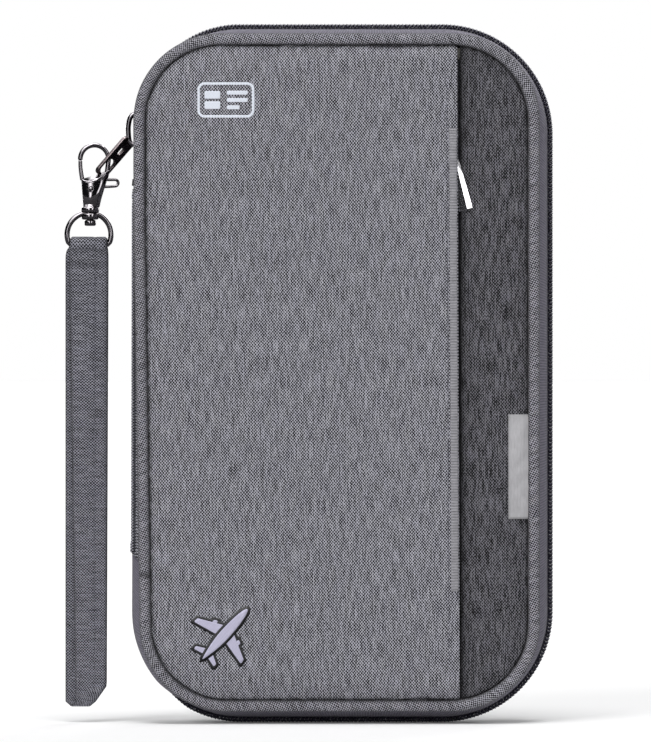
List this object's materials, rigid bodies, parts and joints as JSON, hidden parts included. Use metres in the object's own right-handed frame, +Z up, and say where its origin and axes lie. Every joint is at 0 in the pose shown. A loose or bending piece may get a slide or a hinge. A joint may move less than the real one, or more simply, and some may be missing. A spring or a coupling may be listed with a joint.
{
  "type": "passport holder wallet",
  "caption": "Upright zip-round travel passport wallet in heather grey fabric, with piping, a hidden front zip pocket and a wrist strap on a swivel clasp.",
  "frame": {"origin": "bottom edge of the closed wallet, centred between its covers and under the middle of their width", "axes": "+Z up along the tall side, +X to the opening side (the spine is at -X), the front face looks to -Y"},
  "size_m": [0.1679, 0.0279, 0.24],
  "materials": {
    "light_fabric": "heather grey twill polyester",
    "dark_fabric": "dark heather crosshatch polyester",
    "piping_fabric": "heather grey fabric on the bias over cord",
    "zip_tape": "lavender grey woven polyester zip tape",
    "zip_coil": "dark navy nylon coil",
    "lining_fabric": "plain woven grey lining",
    "board": "thin stiffening sheet",
    "label": "pale grey satin label",
    "gunmetal": "polished gunmetal plating",
    "bright_metal": "polished nickel plating",
    "elastic": "black ribbed elastic"
  },
  "bodies": {
    "back_cover": {"back_board": "board", "back_panel": "light_fabric", "back_piping": "piping_fabric", "back_lining": "lining_fabric", "back_seam_binding": "lining_fabric", "zipper_tape_back": "zip_tape", "zipper_coil_back": "zip_coil", "document_pocket": "lining_fabric", "passport_pocket": "lining_fabric", "coin_pocket": "lining_fabric", "coin_zip_tape": "zip_tape", "coin_zip_coil": "zip_coil", "pen_loop": "elastic"},
    "spine": {"spine_panel": "light_fabric", "spine_lining": "lining_fabric", "zipper_tape_start": "zip_tape", "zipper_coil_start": "zip_coil", "zipper_stop": "gunmetal"},
    "front_cover": {"front_board": "board", "pocket_backing": "light_fabric", "side_panel": "dark_fabric", "pocket_panel": "light_fabric", "pocket_edge_trim": "zip_tape", "woven_label": "label", "front_piping": "piping_fabric", "front_lining": "lining_fabric", "front_seam_binding": "lining_fabric", "zipper_tape_front": "zip_tape", "zipper_coil_front": "zip_coil", "note_pocket": "lining_fabric", "card_slot_1": "lining_fabric", "card_slot_2": "lining_fabric", "card_slot_3": "lining_fabric", "card_slot_4": "lining_fabric", "pocket_zip_tape": "zip_tape", "pocket_zip_coil": "zip_coil"},
    "coin_slider": {"coin_zip_slider": "bright_metal"},
    "coin_pull": {"coin_zip_pull": "bright_metal"},
    "pocket_slider": {"pocket_zip_slider": "bright_metal"},
    "pocket_pull": {"pocket_zip_pull": "bright_metal"},
    "main_slider": {"slider_body": "gunmetal", "slider_bail": "gunmetal"},
    "slider_pull": {"pull_tab": "gunmetal"},
    "clasp": {"clasp_hook": "gunmetal", "clasp_pin": "gunmetal", "gate_spring": "bright_metal", "swivel_rivet": "gunmetal"},
    "gate": {"clasp_gate": "gunmetal"},
    "swivel": {"strap_ring": "gunmetal"},
    "strap": {"wrist_strap": "light_fabric"}
  },
  "joints": [
    {"name": "spine_fold", "type": "hinge", "parent": "back_cover", "child": "spine", "pos_m": [-0.071, 0.009, 0], "axis": [0, 0, -1], "range_deg": [0, 90]},
    {"name": "front_fold", "type": "hinge", "parent": "spine", "child": "front_cover", "pos_m": [-0.071, -0.009, 0], "axis": [0, 0, -1], "range_deg": [0, 90]},
    {"name": "main_zip_travel", "type": "slide", "parent": "spine", "child": "main_slider", "axis": [-0.0958, 0, -0.9954], "range_m": [0, 0.01]},
    {"name": "pull_swing", "type": "hinge", "parent": "main_slider", "child": "slider_pull", "pos_m": [-0.0717, 0, 0.199], "axis": [0, 1, 0], "range_deg": [0, 30]},
    {"name": "clasp_swing", "type": "hinge", "parent": "slider_pull", "child": "clasp", "pos_m": [-0.078, 0, 0.1917], "axis": [1, 0, 0], "range_deg": [-8, 50]},
    {"name": "gate_press", "type": "hinge", "parent": "clasp", "child": "gate", "pos_m": [-0.0839, 0, 0.1832], "axis": [0, 1, 0], "range_deg": [0, 22], "stiffness_Nm_per_rad": 0.02, "springref_deg": -5.73, "deforming": ["gate_spring"]},
    {"name": "swivel_turn", "type": "hinge", "parent": "clasp", "child": "swivel", "pos_m": [-0.0842, 0, 0.174], "axis": [0, 0, 1], "continuous": true},
    {"name": "strap_swing", "type": "hinge", "parent": "swivel", "child": "strap", "pos_m": [-0.0846, 0, 0.1643], "axis": [1, 0, 0], "range_deg": [0, 70]},
    {"name": "pocket_zip_travel", "type": "slide", "parent": "front_cover", "child": "pocket_slider", "axis": [0, 0, -1], "range_m": [0, 0.15]},
    {"name": "pocket_pull_swing", "type": "hinge", "parent": "pocket_slider", "child": "pocket_pull", "pos_m": [0.0396, -0.013, 0.1976], "axis": [0, 1, 0], "range_deg": [-30, 15]},
    {"name": "coin_zip_travel", "type": "slide", "parent": "back_cover", "child": "coin_slider", "axis": [-1, 0, 0], "range_m": [0, 0.088]},
    {"name": "coin_pull_swing", "type": "hinge", "parent": "coin_slider", "child": "coin_pull", "pos_m": [0.04395, 0.0046, 0.212], "axis": [0, 0, 1], "range_deg": [0, 110]}
  ],
  "couplings": [
    {"joint": "front_fold", "follows": "spine_fold", "ratio": 1}
  ]
}
